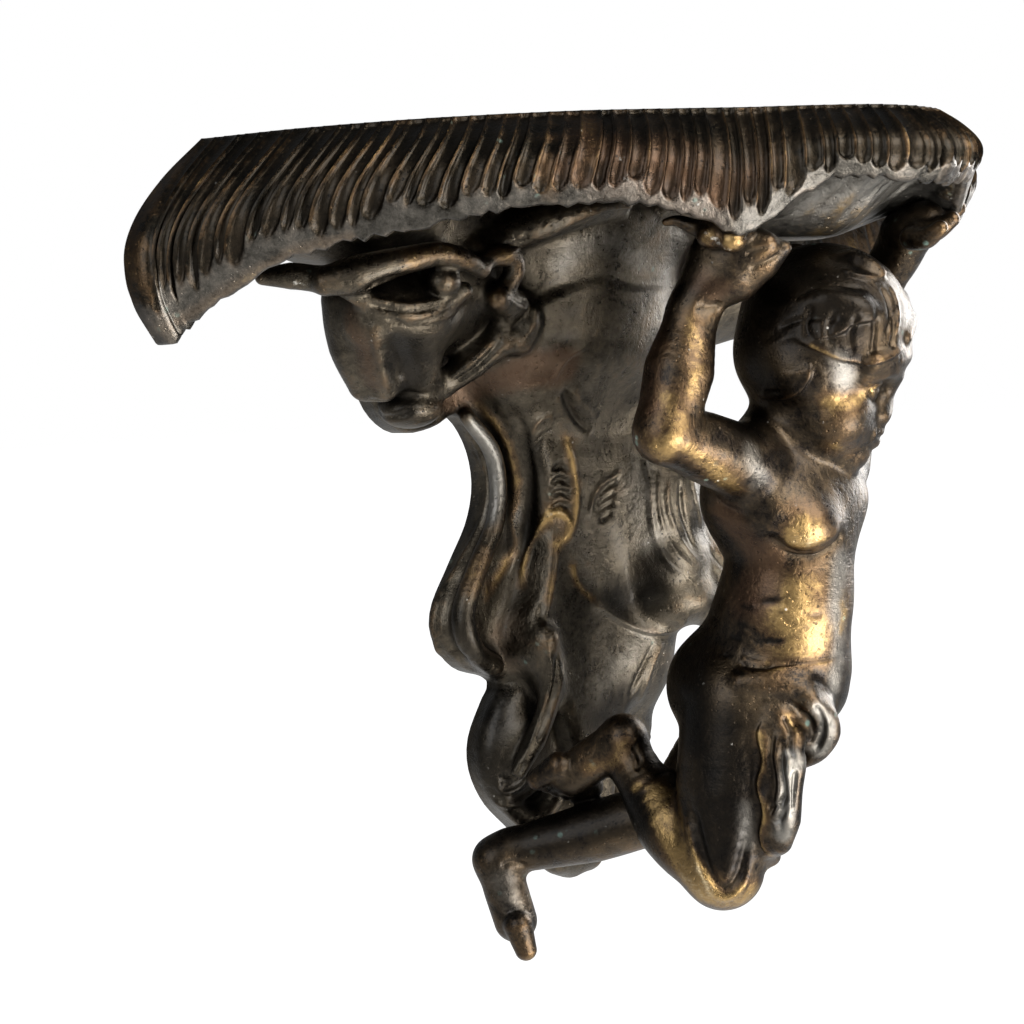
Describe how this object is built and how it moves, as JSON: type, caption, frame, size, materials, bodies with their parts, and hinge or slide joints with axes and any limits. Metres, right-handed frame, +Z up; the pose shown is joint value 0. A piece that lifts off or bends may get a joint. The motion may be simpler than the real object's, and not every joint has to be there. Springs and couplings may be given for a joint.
{
  "type": "figural wall bracket",
  "caption": "Bronze wall bracket with a fluted shelf on a scrolled console, carried by a flying child figure.",
  "frame": {"origin": "the middle of the console's flat back face, where the bracket meets the wall", "axes": "+Y into the wall, -Y out towards the room, +Z up, +X to the right as the bracket is looked at"},
  "size_m": [0.464, 0.2346, 0.3649],
  "materials": {
    "shelf_bronze": "dark brown patina, worn to brass on the arrises",
    "console_bronze": "dark brown patina with red-brown and grey areas",
    "putto_bronze": "dark brown patina, rubbed to gold on the body, arm and leg"
  },
  "bodies": {
    "root": {"shelf": "shelf_bronze", "console": "console_bronze", "putto": "putto_bronze"}
  },
  "joints": []
}
